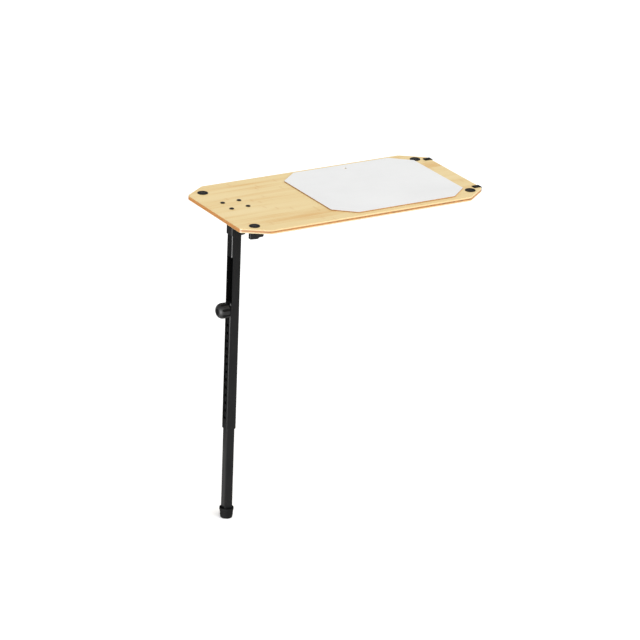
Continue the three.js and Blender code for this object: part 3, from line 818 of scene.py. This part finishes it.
def makeFoot():
    low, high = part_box("rubber_foot")
    radius = (high.x - low.x) / 2
    tall = high.z
    sole = radius - foot["flare"]
    profile = [(0.004, 0), (sole - 0.0062, 0), (sole - 0.0058, 0.0006), (sole - 0.0048, 0.0006),
               (sole - 0.0044, 0), (sole - 0.0025, 0), (sole - 0.0012, 0.0004), (sole - 0.0004, 0.0012),
               (sole, 0.0026), (sole + 0.0006, 0.008)]
    for i in range(foot["rings"]):
        z = foot["ringBottom"] + i * foot["ringPitch"]
        at = sole + 0.0006 + (z - 0.008) * foot["slope"]
        profile += [(at + 0.0001, z), (at - 0.0004, z + 0.0004), (at - 0.0004, z + 0.001),
                    (at + 0.0002, z + 0.0014)]
    profile += [
        (radius - 0.0009, tall - 0.0072), (radius - 0.0002, tall - 0.0064), (radius, tall - 0.0056),
        (radius, tall - 0.001), (radius - 0.0003, tall - 0.0003), (radius - 0.0009, tall),
        (radius - foot["wall"] + 0.0003, tall), (radius - foot["wall"], tall - 0.0004),
        (radius - foot["wall"], foot["floor"]), (0.004, foot["floor"]),
    ]
    piece = turnedPiece("rubberFootPiece", profile, (0, 0, 0), "Z", 96)
    dress(piece, finish["rubber"])
    smooth(piece, 34)
    settle(piece, "lower_leg", "rubber", "rubber_foot")


makeHeightKnob()
makeFoot()
print("knob and foot made")


# shapes that follow their plain parts, with eased edges

def easedCopy(name, node, body, slotName, pair, width, angle=40):
    source = nodes[node]
    piece = bpy.data.objects.new(name, source.data.copy())
    bpy.context.scene.collection.objects.link(piece)
    startEdit(piece)
    bpy.ops.mesh.select_all(action="SELECT")
    bpy.ops.mesh.remove_doubles(threshold=2e-6)
    bpy.ops.mesh.dissolve_limited(angle_limit=deg(1))
    endEdit()
    easeEdges(piece, width, 2, angle, 1)
    dress(piece, [finish[each] for each in pair])
    smooth(piece)
    settle(piece, body, slotName, node)


# name, plain part, body, slot, finishes and edge width
easedParts = [
    ("legHeadPiece", "leg_head", "upper_leg", "black_plastic", ("plastic", "plasticEdge"), 0.0004),
    ("foldLeverPiece", "fold_lever", "fold_lever", "black_plastic", ("lever", "plasticEdge"), 0.0003),
    ("legBracketPiece", "leg_bracket", "tray_top", "black_paint", ("paint", "paintEdge"), 0.0004),
    ("lowerBushPiece", "lower_bush", "upper_leg", "black_plastic", ("plastic", "plasticEdge"), 0.0003),
]
for facts in easedParts:
    easedCopy(*facts)
print("eased parts made", len(easedParts))


# camera, floor and light

view = {"place": (-4.2440, -7.4291, 3.9890), "yaw": 31.333, "pitch": 21.638, "roll": 2.273,
        "lens": 191.2, "sensor": 36, "far": 240}


def makeCamera():
    yaw, pitch, roll = deg(view["yaw"]), deg(view["pitch"]), deg(view["roll"])
    ahead = Vector((math.sin(yaw) * math.cos(pitch), math.cos(yaw) * math.cos(pitch), -math.sin(pitch)))
    level = Vector((math.cos(yaw), -math.sin(yaw), 0))
    upright = level.cross(ahead)
    right = math.cos(roll) * level + math.sin(roll) * upright
    up = math.cos(roll) * upright - math.sin(roll) * level
    data = bpy.data.cameras.new("tableCamera")
    data.lens = view["lens"]
    data.sensor_width = view["sensor"]
    data.clip_end = view["far"]
    camera = bpy.data.objects.new("tableCamera", data)
    bpy.context.scene.collection.objects.link(camera)
    turn = Matrix((right, up, -ahead)).transposed().to_4x4()
    camera.matrix_world = Matrix.Translation(view["place"]) @ turn
    bpy.context.scene.camera = camera


lamps = {
    "sun": {"kind": "SUN", "aim": (-0.12, 0.80, -0.86), "power": 2.3, "angle": 70},
    "strip": {"kind": "AREA", "place": (-1.49, -0.58, 0.45), "target": (0, 0, 0.45), "size": (0.46, 0.84),
              "power": 125},
}


def makeLamp(name, facts):
    data = bpy.data.lights.new(name + "Lamp", facts["kind"])
    data.energy = facts["power"]
    lamp = bpy.data.objects.new(name + "Lamp", data)
    bpy.context.scene.collection.objects.link(lamp)
    if facts["kind"] == "SUN":
        data.angle = deg(facts["angle"])
        aim = Vector(facts["aim"])
    else:
        data.shape = "RECTANGLE"
        data.size, data.size_y = facts["size"]
        lamp.location = facts["place"]
        aim = Vector(facts["target"]) - Vector(facts["place"])
        lamp.visible_diffuse = False
    lamp.rotation_euler = aim.to_track_quat("-Z", "Y").to_euler()
    lamp.visible_camera = False


ground = {"reach": 60, "z": -0.0004, "light": (0.93, 0.93, 0.93), "shade": (0.92, 0.92, 0.92), "glow": 0.22}


def makeFloor():
    reach = ground["reach"]
    floor = addPlane("paleFloor", -reach, reach, -reach, reach, ground["z"])
    material, shader = newMaterial("paleFloorFinish", Roughness=0.9, Specular_IOR_Level=0.1)
    speck = noiseAt(material, (3, 3, 3), detail=2)
    color = mixColor(material, speck, ground["light"], ground["shade"])
    join(material, color, shader.inputs["Base Color"])
    shader.inputs["Emission Color"].default_value = (1, 1, 1, 1)
    shader.inputs["Emission Strength"].default_value = ground["glow"]
    dress(floor, material)


# a black mat that only reflections see, so the leg's left side stays dark
darkMat = {"x": (-2.2, -0.03), "y": (0.5, 2.6), "z": 0.0006,
           "light": (0.006, 0.006, 0.006), "shade": (0.004, 0.004, 0.004)}


def makeMat():
    mat = addPlane("reflectionMat", *darkMat["x"], *darkMat["y"], darkMat["z"])
    material, shader = newMaterial("reflectionMatFinish", Roughness=1.0, Specular_IOR_Level=0.0)
    shade = mixColor(material, noiseAt(material, (9, 9, 9)), darkMat["shade"], darkMat["light"])
    join(material, shade, shader.inputs["Base Color"])
    dress(mat, material)
    mat.visible_camera = False
    mat.visible_diffuse = False
    mat.visible_shadow = False


studio = {"color": (1, 1, 1, 1), "strength": 0.58}


def makeWorld():
    world = bpy.data.worlds.new("studio")
    bpy.context.scene.world = world
    world.use_nodes = True
    back = world.node_tree.nodes["Background"]
    back.inputs["Color"].default_value = studio["color"]
    back.inputs["Strength"].default_value = studio["strength"]


makeCamera()
for name, facts in lamps.items():
    makeLamp(name, facts)
makeFloor()
makeMat()
makeWorld()
bpy.context.scene.view_settings.view_transform = "Standard"
print("stage made")
